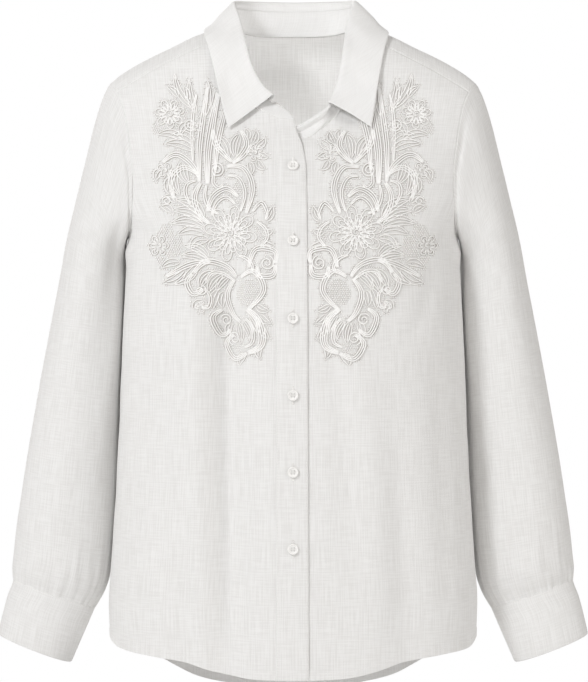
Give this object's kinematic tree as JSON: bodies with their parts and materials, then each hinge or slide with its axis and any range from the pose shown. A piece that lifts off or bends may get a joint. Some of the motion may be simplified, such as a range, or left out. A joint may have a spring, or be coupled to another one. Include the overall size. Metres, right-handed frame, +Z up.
{
  "type": "embroidered shirt",
  "caption": "Long-sleeved linen shirt with a pointed collar, buttoned front, curved hem and embroidered fronts, filled out as on a wearer.",
  "frame": {"origin": "the middle of the shoulder line at the neck, where the wearer's shoulders hold it", "axes": "+Z up, +Y to the shirt's back, +X to the wearer's left"},
  "size_m": [0.6348, 0.2332, 0.7563],
  "materials": {
    "linen": "matt slubbed linen",
    "collar_linen": "matt slubbed linen, fused",
    "shell": "satin white button"
  },
  "bodies": {
    "root": {"front_right": "linen", "front_left": "linen", "back": "linen", "yoke": "linen", "front_band": "linen", "collar_stand": "collar_linen", "collar_fall": "collar_linen", "sleeve_right": "linen", "sleeve_left": "linen", "cuff_right": "linen", "cuff_left": "linen", "button_1": "shell", "button_2": "shell", "button_3": "shell", "button_4": "shell", "button_5": "shell", "button_6": "shell", "cuff_button_right": "shell", "cuff_button_left": "shell"}
  },
  "joints": []
}
